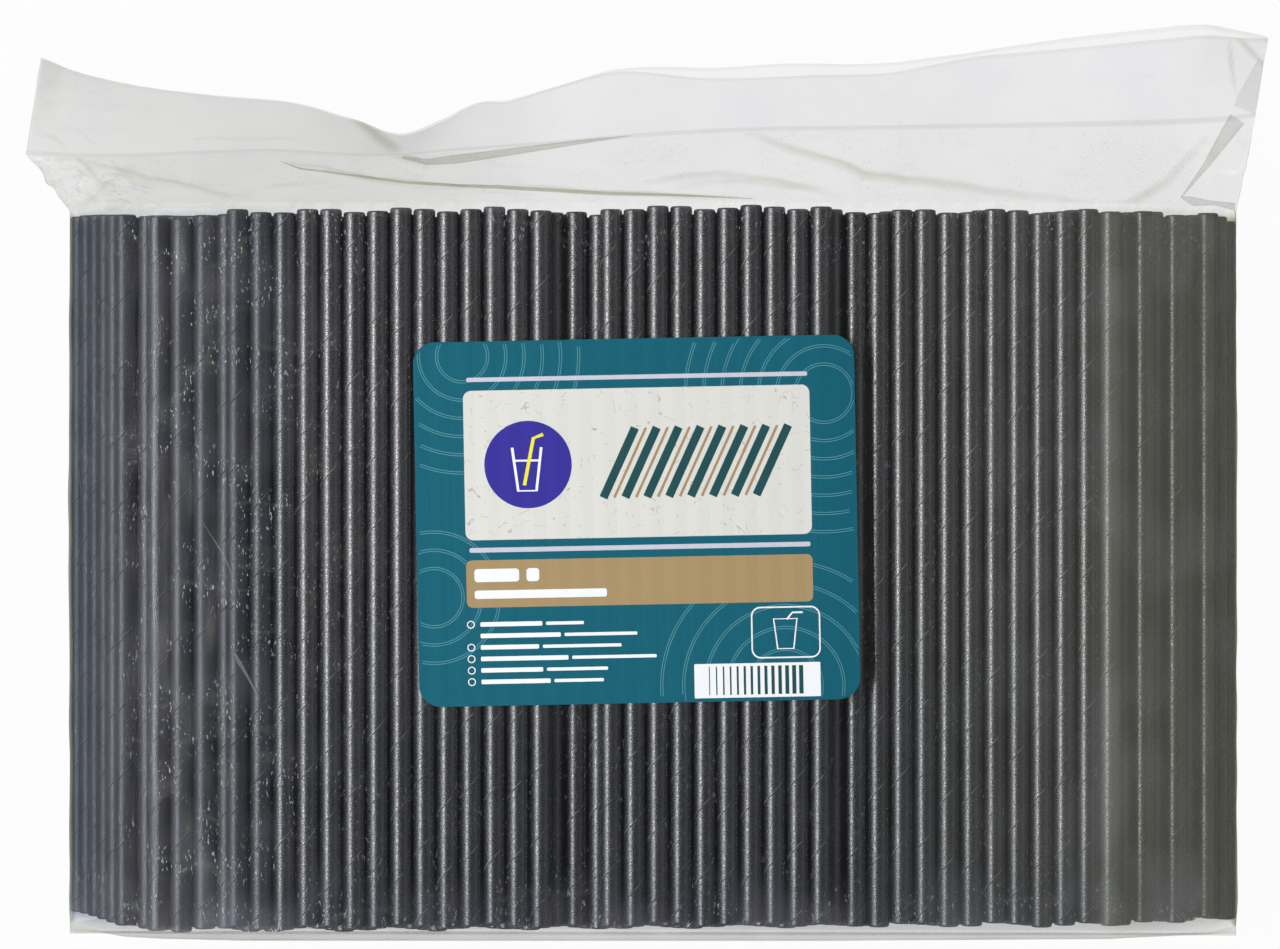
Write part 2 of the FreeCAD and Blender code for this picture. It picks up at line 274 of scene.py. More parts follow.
def straw_paper():
    """Black dyed paper, spirally wound, with a fine glittering grain and the outer ply's edge, drawn
    lighter as a painted highlight along its step.
    """
    n = Nodes("straw_paper")
    place = n.object_place()
    x, y, z = n.parts(place)
    axis_x, seed, axis_z = n.parts(n.attribute("straw_axis", "Vector"))
    angle = n.math("ARCTAN2", n.math("SUBTRACT", x, axis_x), n.math("SUBTRACT", z, axis_z))
    round_share = n.math("DIVIDE", angle, 2 * math.pi)
    turns = n.math("DIVIDE", y, 2 * math.pi * STRAW_R * MM)
    wound = n.math("SUBTRACT", turns, round_share)
    phase = n.math("FRACT", n.math("ADD", wound, seed))
    past_seam = n.math("SUBTRACT", phase, 0.5)
    seam = n.between(n.math("ABSOLUTE", past_seam), 0.006, 0.017, 1.0, 0.0)
    # A lighter line beside the seam: a painted highlight, the glint of the outer ply's step.
    edge = n.between(n.math("ABSOLUTE", n.math("SUBTRACT", past_seam, 0.02)), 0.003, 0.012, 1.0, 0.0)
    edge = n.math("MULTIPLY", edge, n.between(n.noise(place, 420.0, 0.0), 0.4, 0.6))

    grain = n.noise(place, 2900.0, 1.0, 0.65)
    fibres = n.noise(n.scaled(place, 1, 0.35, 1, math.radians(-40)), 2300.0, 1.0, 0.6)
    blotch = n.noise(place, 160.0, 0.0)
    black, dark, worn = (0.005, 0.0055, 0.0066, 1), (0.016, 0.0168, 0.0188, 1), (0.024, 0.025, 0.027, 1)
    in_seam, seam_glint = (0.002, 0.002, 0.002, 1), (0.18, 0.18, 0.18, 1)
    shade = n.mix(n.between(fibres, 0.35, 0.75), black, dark)
    shade = n.mix(n.math("MULTIPLY", n.between(blotch, 0.4, 0.8), 0.35), shade, worn)
    shade = n.mix(seam, shade, in_seam)
    colour = n.mix(n.math("MULTIPLY", edge, 0.8), shade, seam_glint)
    gloss = n.math("MAXIMUM", n.between(grain, 0.32, 0.68, 0.23, 0.52), n.math("MULTIPLY", seam, 0.9))
    gloss = n.math("ADD", gloss, n.between(axis_x, -0.103, -0.11, 0.0, 0.13))

    height = n.math("ADD", n.math("MULTIPLY", grain, 0.6), n.math("MULTIPLY", fibres, 0.4))
    relief = n.bump(height, 0.00009, 0.65)
    shader = n.surface(Base_Color=colour, Roughness=gloss, Normal=relief, Specular_IOR_Level=1.0, IOR=1.6)
    return n.finish(shader)


def clear_film():
    """Thin clear film: mostly see-through, with haze, flecks, creases and grey-green folds, partly painted
    shade.
    """
    n = Nodes("clear_film")
    place = n.object_place()
    haze, fold, wear = n.parts(n.attribute("film_marks", "Vector"))
    facing = n.add("ShaderNodeLayerWeight")
    facing.inputs["Blend"].default_value = 0.5
    away = facing.outputs["Facing"]

    flecks = n.noise(n.scaled(place, 1, 0.35, 1, math.radians(35)), 1700.0, 1.0, 0.7)
    flecks = n.math("MULTIPLY", n.between(flecks, 0.63, 0.71), wear)
    curl = n.noise(n.scaled(place, 0.35, 1, 1, math.radians(6)), 80.0, 1.0)
    curl = n.math("SUBTRACT", curl, 0.5)
    doubled = n.between(n.math("MULTIPLY_ADD", curl, 0.9, n.attribute("film_doubled")), 0.48, 0.53)
    crease = n.between(n.math("ABSOLUTE", curl), 0.0, 0.04, 1.0, 0.0)
    crease = n.math("MULTIPLY", crease, wear)

    veil = n.math("ADD", n.math("MULTIPLY", haze, 0.24), n.math("MULTIPLY", flecks, 0.33))
    veil = n.math("ADD", veil, 0.003)
    # The fold mark's grey-green is partly the film's own green where it lies double and partly painted
    # shade along folds and crumples.
    folded = n.math("ADD", n.math("MULTIPLY", fold, 0.42), n.math("MULTIPLY", crease, 0.05))
    folded = n.math("MULTIPLY", folded, n.math("ADD", 1.0, n.math("MULTIPLY", doubled, 0.2)))
    veil = n.math("ADD", veil, folded, clamp=True)
    lilac, green, through_double = (0.7, 0.7, 0.83, 1), (0.38, 0.395, 0.29, 1), (0.72, 0.76, 0.6, 1)
    tint = n.mix(n.math("DIVIDE", folded, veil, clamp=True), lilac, green)
    through = n.attribute("film_through", "Vector")
    through = n.mix(n.math("MULTIPLY", doubled, 0.8), through, through_double)

    soft = n.surface(Base_Color=tint, Roughness=0.8, Specular_IOR_Level=0.0)
    clear = n.add("ShaderNodeBsdfTransparent")
    n.put(clear, Color=through)
    body = n.blend(veil, clear.outputs[0], soft)

    shine = n.add("ShaderNodeBsdfGlossy")
    shine.inputs["Roughness"].default_value = 0.15
    rim = n.math("ADD", n.math("MULTIPLY", n.math("POWER", away, 5.0), 0.4), 0.009)
    return n.finish(n.blend(rim, body, shine.outputs[0]))


def print_paper(name, colour, spread, roughness=0.5, flecks=False):
    """Printed label paper, with the print's faint mottle and, on the pale panel, plant fibres."""
    n = Nodes(name)
    place = n.object_place()
    mottle = n.noise(place, 900.0, 4.0, 0.6)
    broad = n.noise(place, 60.0, 2.0)
    dark = tuple(c * (1 - spread) for c in colour) + (1,)
    light = tuple(min(c * (1 + spread), 1) for c in colour) + (1,)
    uneven = n.math("ADD", n.math("MULTIPLY", mottle, 0.6), n.math("MULTIPLY", broad, 0.4))
    shade = n.mix(uneven, dark, light)
    if flecks:
        for scale, low, tone in ((170.0, 0.57, (0.42, 0.4, 0.33, 1)), (260.0, 0.6, (0.3, 0.29, 0.25, 1))):
            curl = n.noise(place, scale, 1.0, 0.4, 0.5)
            line = n.between(n.math("ABSOLUTE", n.math("SUBTRACT", curl, 0.5)), 0.004, 0.011, 1.0, 0.0)
            some = n.between(n.noise(place, scale * 1.9, 1.0), low, low + 0.05)
            shade = n.mix(n.math("MULTIPLY", n.math("MULTIPLY", line, some), 0.75), shade, tone)
    relief = n.bump(mottle, 0.00003, 0.3)
    return n.finish(n.surface(Base_Color=shade, Roughness=roughness, Normal=relief, Specular_IOR_Level=0.2))


# Straws

# How far the cut end's wall leans in, and how far from the end
CUT_END = ((0.0, 0.75), (0.06, 0.42), (0.2, 0.16), (0.4, 0.0))
CUT_BORE = ((0.34, 0.02), (0.0, 0.9))


def straws_of(node):
    """(x, z, first y, last y) of each straw in a CAD node."""
    points = np.array([v.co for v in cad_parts[node].data.vertices]) / MM
    low, high = points.min(0), points.max(0)
    count = round((high[0] - low[0] - 2 * STRAW_R) / STRAW_PITCH) + 1
    first = (low[0] + high[0] - (count - 1) * STRAW_PITCH) / 2
    straws = []
    for i in range(count):
        x = first + i * STRAW_PITCH
        own = points[np.abs(points[:, 0] - x) < STRAW_R * 1.01]
        straws.append((x, (low[2] + high[2]) / 2, own[:, 1].min(), own[:, 1].max()))
    return straws


def wall_profile(first, last):
    """(radius, y) round the section of a straw's wall."""
    outside = [(STRAW_R - lean, last - back) for lean, back in CUT_END]
    outside = [(STRAW_R - lean, first + back) for lean, back in CUT_END[::-1]] + outside
    bore = STRAW_R - STRAW_WALL
    inside = [(bore - lean, last - back) for lean, back in CUT_BORE]
    inside += [(bore - lean, first + back) for lean, back in CUT_BORE[::-1]]
    return outside + inside


def make_straws(name, nodes, sides, material):
    """One mesh of all straws of some CAD nodes, which it replaces."""
    points, faces, axes = [], [], []
    angles = np.arange(sides) * 2 * math.pi / sides
    straws = [straw for node in nodes for straw in straws_of(node)]
    for x, z, first, last in straws:
        # A number from 0 to 1 that is unlike for each straw and the same in each run
        seed = (math.sin(12.9898 * x + 78.233 * z) * 43758.5453) % 1.0
        base = len(points) * sides
        profile = wall_profile(first, last)
        for radius, y in profile:
            ring = (x + radius * np.sin(angles), np.full(sides, y), z + radius * np.cos(angles))
            points.append(np.column_stack(ring))
        count = len(profile)
        axes.append(np.tile((x * MM, seed, z * MM), (count * sides, 1)))
        for i in range(count):
            near, far = base + i * sides, base + (i + 1) % count * sides
            for side in range(sides):
                other = (side + 1) % sides
                faces.append((near + side, near + other, far + other, far + side))
    piece = new_piece(name, np.concatenate(points), faces, material)
    store(piece.data, "straw_axis", np.concatenate(axes), "FLOAT_VECTOR")
    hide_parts(*nodes)
    return straws


# Film

# The flap's droop below the level, in degrees, and the length that the upper layer lacks at the mouth
FLAP_DROOP = (
    (0.0, 10), (0.02, 24), (0.07, 38), (0.13, 48), (0.2, 56), (0.25, 65), (0.29, 73), (0.325, 66),
    (0.355, 57), (0.38, 57), (0.42, 49), (0.47, 40), (0.545, 44), (0.6, 43), (0.68, 44), (0.75, 37),
    (0.79, 31), (0.84, 23), (0.9, 13), (0.94, 8), (0.965, 17), (1.0, 32),
)
UPPER_SHORT = (
    (0.0, 0.6), (0.4, 0.8), (0.46, 1.5), (0.52, 4.4), (0.59, 6.6), (0.64, 5.6), (0.7, 5.0),
    (0.757, 3.0), (0.836, 3.8), (0.92, 3.6), (0.976, 2.6), (1.0, 1.4),
)
FLAP_SHIFT = ((0.0, 3.6), (0.25, 4.4), (0.7, 4.6), (1.0, 6.0))
SEAL_WAVE = (
    (0.0, 0.3), (0.04, -1.0), (0.09, -1.5), (0.14, -1.3), (0.2, -1.4), (0.29, -3.6), (0.35, -2.8),
    (0.45, -1.5), (0.52, -0.1), (0.6, 0.4), (0.7, 0.0), (0.9, -0.4), (0.97, 0.2), (1.0, 1.4),
)
# Faces across the bag over the straws and past them, and rows of faces in each part of it
BODY_ACROSS = 200
NECK_ACROSS = 400
BODY_ROWS = {"fin": 3, "bottom": 8, "bundle": 60}
NECK_ROWS = {"shoulder": 36, "weld": 3, "flap": 30}

# Folds of the upper film past the straws: places, half width, height, and how strongly their painted shade
# shows
FOLDS = (
    (((-174, 122.5), (-170.5, 122.5), (-163, 116), (-155.5, 108.5), (-147, 106)), 0.8, 1.0, 0.7),
    (((-162, 115), (-154, 112.5), (-147, 110), (-140.5, 108), (-135, 107.5), (-119.5, 103.5)),
     1.5, 1.2, 0.5),
    (((-177, 115), (-168.5, 115.5), (-160, 116)), 0.7, 0.5, 0.5),
    (((-161, 101), (-153.5, 106), (-150, 109)), 1.0, 0.8, 0.5),
    (((-137.5, 107.5), (-125, 105), (-113, 102)), 1.2, 0.8, 0.4),
    (((-109, 105), (-94.5, 106)), 1.0, 0.6, 0.35),
    (((-137, 120.5), (-126, 121.8), (-116, 121.0), (-104, 121.6), (-94, 120)), 1.1, 0.4, 0.35),
    (((-92, 134), (-87, 131), (-71, 116.5), (-63.5, 112)), 1.9, 0.7, 0.75),
    (((-104, 114), (-98, 111.5), (-82.5, 108.5), (-67.5, 107), (-42, 105.5)), 0.9, 0.9, 0.5),
    (((-42, 105.5), (-30.5, 105.2), (-11, 103.5), (9, 103), (28, 102)), 0.8, 1.0, 0.45),
    (((-1, 107), (9, 109), (17.5, 109.5), (30, 108)), 1.0, 0.7, 0.4),
    (((27, 122), (36.5, 118), (47.5, 114), (58.5, 109), (72.5, 107), (92.5, 104.5), (114, 102)),
     1.4, 1.1, 0.5),
    (((23, 108.5), (33, 107.5), (46, 105.5)), 1.0, 0.6, 0.4),
    (((107, 103), (122, 100), (131, 100.5), (143, 107.5), (156, 121)), 1.4, 0.9, 0.35),
    (((164.5, 153), (170.5, 147), (175, 143)), 0.8, 0.6, 0.5),
    (((164, 150), (164.5, 143), (165.5, 134)), 0.7, 0.5, 0.4),
)
# Film folded over on itself, laid on the bag, and two scratches: how green, how hazy, and places with
# half widths
FOLDED_OVER = (
    (1.6, 0.2, ((-104, 114, 0.1), (-98, 111.5, 0.25), (-67.5, 107, 0.4), (-42, 105.5, 0.55),
                (-11, 103.5, 0.5), (9, 103, 0.35), (27.5, 102, 0.1))),
    (0.75, 0.5, ((-70, 115.2, 0.3), (-63, 113.6, 1.0), (-55, 114.4, 1.5), (-40, 116.6, 1.2),
                 (-20, 119.6, 0.7), (-6, 121.4, 0.1))),
    (0.12, 0.4, ((173.8, 144.6, 0.9), (171.8, 139.5, 2.4), (168.5, 132, 3.0), (167.5, 129.5, 3.0))),
    (0.5, 0.4, ((165.5, 126.8, 2.4), (161, 120.5, 1.8), (155.5, 113, 0.9), (147.3, 103.3, 0.1))),
    (0.4, 0.4, ((147.5, 103.6, 0.3), (151, 102.4, 1.4), (157, 102.2, 0.6), (164.5, 101.8, 1.1))),
    (0.0, 0.5, ((-124, 14, 0.05), (-117.6, 4.4, 0.18), (-113, -6, 0.05))),
    (0.0, 0.6, ((-114.4, -22.5, 0.15), (-113.6, -24.5, 0.6), (-111.5, -28, 0.4), (-107.5, -35.5, 0.1))),
)


def hull_of(centres):
    """Centres of the straws that hold the film out, anticlockwise."""
    ordered = sorted(centres)
    hull = []
    for side in (ordered, ordered[::-1]):
        chain = []
        for c in side:
            while len(chain) > 1:
                (ax, az), (bx, bz) = chain[-2:]
                if (bx - ax) * (c[1] - az) - (bz - az) * (c[0] - ax) > 1e-6:
                    break
                chain.pop()
            chain.append(c)
        hull += chain[:-1]
    return hull


def film_lines(hull):
    """The film's upper and lower line round the bundle, each from left to right."""
    line = []
    for i, (x, z) in enumerate(hull):
        before, after = hull[i - 1], hull[(i + 1) % len(hull)]
        first = math.atan2(before[0] - x, z - before[1])
        last = math.atan2(x - after[0], after[1] - z)
        sweep = (last - first) % (2 * math.pi)
        for step in range(BEND_STEPS + 1):
            angle = first + sweep * step / BEND_STEPS
            line.append((x + FILM_REACH * math.cos(angle), z + FILM_REACH * math.sin(angle)))
    left = min(range(len(line)), key=lambda i: line[i][0])
    right = max(range(len(line)), key=lambda i: line[i][0])
    turned = line[right:] + line[:right]
    middle = (left - right) % len(line)
    return turned[: middle + 1][::-1], turned[middle:] + turned[:1]


def resampled(line, count):
    """Points evenly spaced along a line."""
    line = np.array(line)
    reached = np.concatenate(([0], np.cumsum(np.linalg.norm(np.diff(line, axis=0), axis=1))))
    at = np.linspace(0, reached[-1], count)
    return np.column_stack((np.interp(at, reached, line[:, 0]), np.interp(at, reached, line[:, 1])))


def distance_to(points, route):
    """Distance in plan of each point to a route, and the share of the route at the nearest place."""
    best = np.full(len(points), 1e9)
    along = np.zeros(len(points))
    for i, (a, b) in enumerate(zip(route, route[1:])):
        a, b = np.array(a, float), np.array(b, float)
        t = np.clip(((points - a) @ (b - a)) / ((b - a) @ (b - a)), 0, 1)
        d = np.linalg.norm(points - (a + t[:, None] * (b - a)), axis=1)
        nearer = d < best
        best[nearer] = d[nearer]
        along[nearer] = ((i + t) / (len(route) - 1))[nearer]
    return best, along


def along_route(route, step):
    """The points of a route with more between them, evenly spaced."""
    route = np.array(route, float)
    reached = np.concatenate(([0], np.cumsum(np.linalg.norm(np.diff(route[:, :2], axis=0), axis=1))))
    at = np.linspace(0, reached[-1], max(2, int(reached[-1] / step)))
    return np.column_stack([np.interp(at, reached, route[:, i]) for i in range(route.shape[1])])


def seen_through(marks, points):
    """The film's colour in transmission: green in folds, and a painted blue-grey shade over the straws at
    the left, in the lower half and at the foot.
    """
    clear, folded = np.array((0.97, 0.972, 0.968)), np.array((0.76, 0.79, 0.66))
    hazy, loose = np.array((0.9, 0.885, 0.905)), np.array((0.72, 0.745, 0.78))
    x, y = points[:, :1], points[:, 1:2]
    # Painted shade: over the straws the film is seen through darker and blue-grey (the colour loose). This
    # happens where it lies loose at the left and far left, in the lower half, and most at the foot, for
    # light that falls off there.
    shade_on_straws = smooth_step(TURN + 0.3, TURN - 1.5, np.abs(y))
    lower_half_shade = 0.4 * smooth_step(10, -60, y) * smooth_step(130, 90, x)
    foot = 0.8 * smooth_step(-66, -92, y)
    left = smooth_step(-92, -112, x)
    shade_on_straws *= np.maximum(left, np.maximum(lower_half_shade, foot)) + 0.6 * smooth_step(-148, -156, x)
    colour = clear + (folded - clear) * np.clip(marks[:, 1:2], 0, 1.6)
    return colour * (1 + (hazy - 1) * marks[:, :1]) * (1 + (loose - 1) * shade_on_straws)


class Film:
    """The bag as a grid of points for each layer, with the haze, folds and wear at each point."""

    def __init__(self, straws):
        """The bag's two lines round the bundle, and its side creases."""
        self.lines = film_lines(hull_of([(x, z) for x, z, _, _ in straws]))
        self.left, self.right = np.array(self.lines[0][0]), np.array(self.lines[0][-1])

    def crease(self, share):
        """(x, z) on the straight line from the left side crease to the right one."""
        return self.left + (self.right - self.left) * share

    def seal(self, share, out):
        """A point out along the flap from the start of the seal, and the way that is up there."""
        x, z = self.crease(share)
        droop = math.radians(table_value(FLAP_DROOP, share))
        x += SEAL_LEFT[0] + (SEAL_RIGHT[0] - SEAL_LEFT[0]) * share
        y = TURN + SEAL_LEFT[1] + (SEAL_RIGHT[1] - SEAL_LEFT[1]) * share + table_value(SEAL_WAVE, share)
        z += 4 * SEAL_RISE * share * (1 - share)
        x += table_value(FLAP_SHIFT, share) * out / (FLAP_LENGTH + SEAL_WELD)
        up = np.array((0, math.sin(droop), math.cos(droop)))
        return np.array((x, y + out * math.cos(droop), z - out * math.sin(droop))), up

    def body_rows(self, layer):
        """Rows across the bag from its bottom seam to the top of the straws, with each row's kind."""
        side = 1 if layer == 0 else -1
        section = resampled(self.lines[layer], BODY_ACROSS + 1)
        seam = np.array([self.crease(s) for s in np.linspace(0, 1, BODY_ACROSS + 1)])
        rows = []
        for i in range(BODY_ROWS["fin"]):
            y = -TURN - BOTTOM_END + (BOTTOM_END - BOTTOM_FOLD) * i / BODY_ROWS["fin"]
            rows.append(("fin", [(x, y, z + SEAM_GAP * side) for x, z in seam]))
        for i in range(BODY_ROWS["bottom"]):
            t = i / BODY_ROWS["bottom"]
            swell = math.sin(t * math.pi / 2) ** 0.8
            y = -TURN - BOTTOM_FOLD * math.cos(t * math.pi / 2)
            swollen = seam + (section - seam) * swell
            rows.append(("bottom", [(x, y, z + SEAM_GAP * side * (1 - t)) for x, z in swollen]))
        for i in range(BODY_ROWS["bundle"] + 1):
            y = -TURN + 2 * TURN * i / BODY_ROWS["bundle"]
            rows.append(("bundle", [(x, y, z) for x, z in section]))
        return rows

    def neck_rows(self, layer):
        """Rows across the bag from the top of the straws over the weld to the mouth."""
        side = 1 if layer == 0 else -1
        shares = np.linspace(0, 1, NECK_ACROSS + 1)
        section = resampled(self.lines[layer], NECK_ACROSS + 1)
        top = np.column_stack((section[:, 0], np.full(len(section), TURN), section[:, 1]))
        seal = np.array([p + up * WELD_GAP * side for p, up in (self.seal(s, 0) for s in shares)])
        rows = []
        for i in range(NECK_ROWS["shoulder"]):
            t = i / NECK_ROWS["shoulder"]
            row = top + (seal - top) * t
            row[:, 2] += side * 1.1 * math.sin(math.pi * t) * np.sin(math.pi * shares) ** 0.4
            rows.append(("shoulder", row))
        for i in range(NECK_ROWS["weld"]):
            out = SEAL_WELD * i / NECK_ROWS["weld"]
            row = [p + up * WELD_GAP * side for p, up in (self.seal(s, out) for s in shares)]
            rows.append(("weld", row))
        for i in range(NECK_ROWS["flap"] + 1):
            t = i / NECK_ROWS["flap"]
            row = []
            for s in shares:
                short = table_value(UPPER_SHORT, s) if layer == 0 else 0.0
                p, up = self.seal(s, SEAL_WELD + (FLAP_LENGTH - short) * t)
                row.append(p + up * side * (WELD_GAP + MOUTH_GAP * t))
            rows.append(("flap", row))
        return rows

    def shaped(self, rows, layer):
        """The rows with folds and wrinkles, and (haze, fold, wear) at each point."""
        kinds = [kind for kind, _ in rows]
        grid = np.array([np.array(row) for _, row in rows])
        side = 1 if layer == 0 else -1
        normal = np.cross(np.gradient(grid, axis=1), np.gradient(grid, axis=0)) * side
        normal /= np.maximum(np.linalg.norm(normal, axis=2, keepdims=True), 1e-9)
        flat = grid.reshape(-1, 3)
        shape = grid.shape[:2]
        neck = "shoulder" in kinds

        def field(across, along, seed):
            """Noise at each point of the grid, with these turns to the millimetre."""
            values = [noise_at(p[0] * across, p[1] * along, seed + p[2] * 0.02) for p in flat]
            return np.array(values).reshape(shape)

        wave, ripple = field(0.05, 0.11, 3.7 + layer), field(0.16, 0.3, 9.1 + layer)
        hold = self.looseness(kinds)[:, None]
        lift = hold * (wave * 1.3 + ripple * 0.45)
        marks = np.zeros(shape + (3,))
        if neck:
            # The lower layer has every second fold, weaker and a little to the side
            shift = (0, 0) if layer == 0 else (8, 1.2)
            for route, half_width, height, strength in FOLDS[:: layer + 1]:
                moved = [(x + shift[0], y + shift[1]) for x, y in route]
                distance, place = distance_to(flat[:, :2], moved)
                fade = np.sin(math.pi * np.clip(place, 0.05, 0.95)) ** 0.5
                lift += (np.exp(-distance / half_width) * fade * height).reshape(shape) * hold
                # Along each fold the film is painted darker and greener: painted shade in the fold, besides
                # its real lift.
                mark = np.exp(-((distance / half_width) ** 2)) * fade * strength / (layer + 1)
                marks[..., 1] = np.maximum(marks[..., 1], mark.reshape(shape) * np.minimum(hold * 4, 1))
            crumpled = smooth_step(-128, -156, grid[..., 0]) * hold
            crumple = field(0.2, 0.34, 21.3 + layer)
            lift += crumpled * crumple
            # Painted shade and highlight: where the crumple noise crosses zero the film is painted greener
            # and darker, and where it is highest, whiter with haze.
            ridge = np.clip(1 - np.abs(crumple) / 0.07, 0, 1)
            marks[..., 1] = np.maximum(marks[..., 1], 0.6 * crumpled * ridge)
            marks[..., 0] += 1.2 * crumpled * np.clip(crumple - 0.15, 0, 1)
        else:
            fine = field(0.24, 0.07, 5.3)
            slope = np.sqrt(np.clip(1 - normal[:, :, 2] ** 2, 0, 1))
            settled = smooth_step(0, 6, TURN - np.abs(grid[:, :, 1]))
            lift += (0.02 + 0.8 * slope) * (0.3 + 0.6 * fine) * settled
        self.mark(marks, grid, kinds, wave)
        cloud = smooth_step(-0.25, 0.45, field(0.045, 0.045, 31.0) + 0.5 * field(0.1, 0.1, 37.0))
        uneven = 0.2 if neck else 0.8
        marks[..., 0] *= 1 + uneven * (cloud - 0.5)
        clump = field(0.095, 0.095, 41.0) + 0.5 * field(0.2, 0.2, 43.0)
        marks[..., 2] *= 1.4 * smooth_step(-0.1, 0.25, clump)
        return grid + normal * (lift * side)[:, :, None], marks

    def looseness(self, kinds):
        """How freely each row of the film lies: none on the straws and the weld, most between them."""
        free = np.zeros(len(kinds))
        for kind, most, last in (("shoulder", 1.0, 1.0), ("flap", 0.3, 0.6)):
            own = np.array([k == kind for k in kinds])
            if own.any():
                free[own] = np.sin(math.pi * np.linspace(0, last, own.sum())) ** 0.5 * most
        return free

    def mark(self, marks, grid, kinds, wave):
        """Haze, green tint and wear of each part of the bag, and a painted reflection that makes the left
        of the shoulder and flap greener and darker.
        """
        haze_of = {"fin": 0.2, "bottom": 0.26, "shoulder": 0.22, "weld": 0.45, "flap": 0.3}
        fold_of = {"fin": 0.2, "bottom": 0.14, "shoulder": 0.03, "weld": 0.1, "flap": 0.02}
        wear_of = {"fin": 0.0, "bottom": 0.3, "shoulder": 0.35, "weld": 0.1, "flap": 0.1}
        for i, kind in enumerate(kinds):
            x, y = grid[i, :, 0], grid[i, :, 1]
            if kind == "bundle":
                left = smooth_step(-66, -120, x) * (1 - 0.8 * smooth_step(-138, -149, x))
                right = smooth_step(40, 150, x)
                slack = smooth_step(121, 125, x)
                edges = np.maximum(smooth_step(-164, -165, x), smooth_step(163.6, 164.8, x))
                foot = smooth_step(-78, -98, y)
                loose = 0.1 * left * np.clip(0.7 + 0.9 * wave[i], 0, 1)
                covered = smooth_step(TURN - 0.5, TURN - 3.5, np.abs(y))
                marks[i, :, 0] = 0.02 + loose + 0.08 * right + 0.14 * slack * covered + 0.15 * foot
                marks[i, :, 1] = np.maximum((0.16 * right + 0.3 * slack) * covered, 0.8 * edges)
                head = smooth_step(80, 98, y)
                marks[i, :, 2] = np.clip(0.12 + 0.6 * left + 0.35 * head + 0.4 * foot, 0, 0.8)
            else:
                # Painted reflection: the left of the shoulder and flap is made greener and hazier, for the
                # darker surroundings that the film mirrors there.
                left = smooth_step(-15, -90, x)
                marks[i, :, 0] += haze_of[kind] + 0.06 * left
                marks[i, :, 1] = np.maximum(marks[i, :, 1], fold_of[kind] + 0.11 * left)
                marks[i, :, 2] = wear_of[kind]
        if kinds[-1] == "flap":
            marks[-2:, :, 1] = np.maximum(marks[-2:, :, 1], 0.16)

    def piece(self, material):
        """The bag: both layers, joined at the side creases and the bottom."""
        points, faces, marks = [], [], []
        count = 0
        for rows_of in (self.body_rows, self.neck_rows):
            starts = []
            for layer in (0, 1):
                grid, layer_marks = self.shaped(rows_of(layer), layer)
                rows, width = grid.shape[:2]
                points.append(grid.reshape(-1, 3))
                marks.append(layer_marks.reshape(-1, 3))
                starts.append(count)
                for i in range(rows - 1):
                    for j in range(width - 1):
                        a = count + i * width + j
                        quad = (a, a + 1, a + width + 1, a + width)
                        faces.append(quad if layer == 0 else quad[::-1])
                count += rows * width
            upper, lower = starts
            for i in range(rows - 1):
                for j in (0, width - 1):
                    a, b = upper + i * width + j, lower + i * width + j
                    quad = (a, a + width, b + width, b)
                    faces.append(quad if j == 0 else quad[::-1])
            if rows_of == self.body_rows:
                faces += [(upper + j + 1, upper + j, lower + j, lower + j + 1) for j in range(width - 1)]
        piece = new_piece("film_bag_skin", np.concatenate(points), faces, material)
        points, marks = np.concatenate(points), np.concatenate(marks)
        store(piece.data, "film_marks", marks, "FLOAT_VECTOR")
        store(piece.data, "film_through", seen_through(marks, points), "FLOAT_VECTOR")
        on_straws = np.abs(points[:, 1]) < TURN - 1
        doubled = np.clip((points[:, 0] - DOUBLED_FROM) / DOUBLED_RUN, 0, 1)
        store(piece.data, "film_doubled", np.where(on_straws, doubled, 0))
        joined = bmesh.new()
        joined.from_mesh(piece.data)
        bmesh.ops.remove_doubles(joined, verts=joined.verts, dist=0.00001)
        joined.to_mesh(piece.data)
        joined.free()
        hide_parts("film_bag")
        return piece


def make_folded_over(bag, material):
    """Narrow strips where the film lies folded double, laid on the bag."""
    places, polygons = [v.co for v in bag.data.vertices], [p.vertices for p in bag.data.polygons]
    tree = BVHTree.FromPolygons(places, polygons)

    def laid(x, y):
        """The place just above the bag at (x, y)."""
        hit = tree.ray_cast(Vector((x, y, 200)) * MM, Vector((0, 0, -1)))[0]
        return (x, y, hit.z / MM + STRIP_RISE) if hit else None

    points, faces, marks = [], [], []
    for green, haze, route in FOLDED_OVER:
        route = along_route(route, STRIP_STEP)
        along = np.gradient(route[:, :2], axis=0)
        along /= np.linalg.norm(along, axis=1, keepdims=True)
        rows = []
        for (x, y, half), (dx, dy) in zip(route, along):
            row = [laid(x - dy * half * k, y + dx * half * k) for k in (-1, -0.5, 0, 0.5, 1)]
            if all(row):
                rows.append(row)
        base = len(points)
        for row in rows:
            points += row
            marks += [(haze, green * (1 if k in (0, 4) else 0.65), 0.2) for k in range(5)]
        for i in range(len(rows) - 1):
            for k in range(4):
                a = base + i * 5 + k
                faces.append((a, a + 5, a + 6, a + 1))
    piece = new_piece("film_folded_over", points, faces, material)
    marks = np.array(marks)
    store(piece.data, "film_marks", marks, "FLOAT_VECTOR")
    store(piece.data, "film_through", seen_through(marks, np.array(points)), "FLOAT_VECTOR")


# Label


def label_ripple(x, y):
    """Height of the label's face over the straws under it."""
    past = max(0.0, x - LABEL_BEND_X)
    return LABEL_Z - past * math.tan(LABEL_BEND) + LABEL_WAVE * math.cos(2 * math.pi * x / STRAW_PITCH)


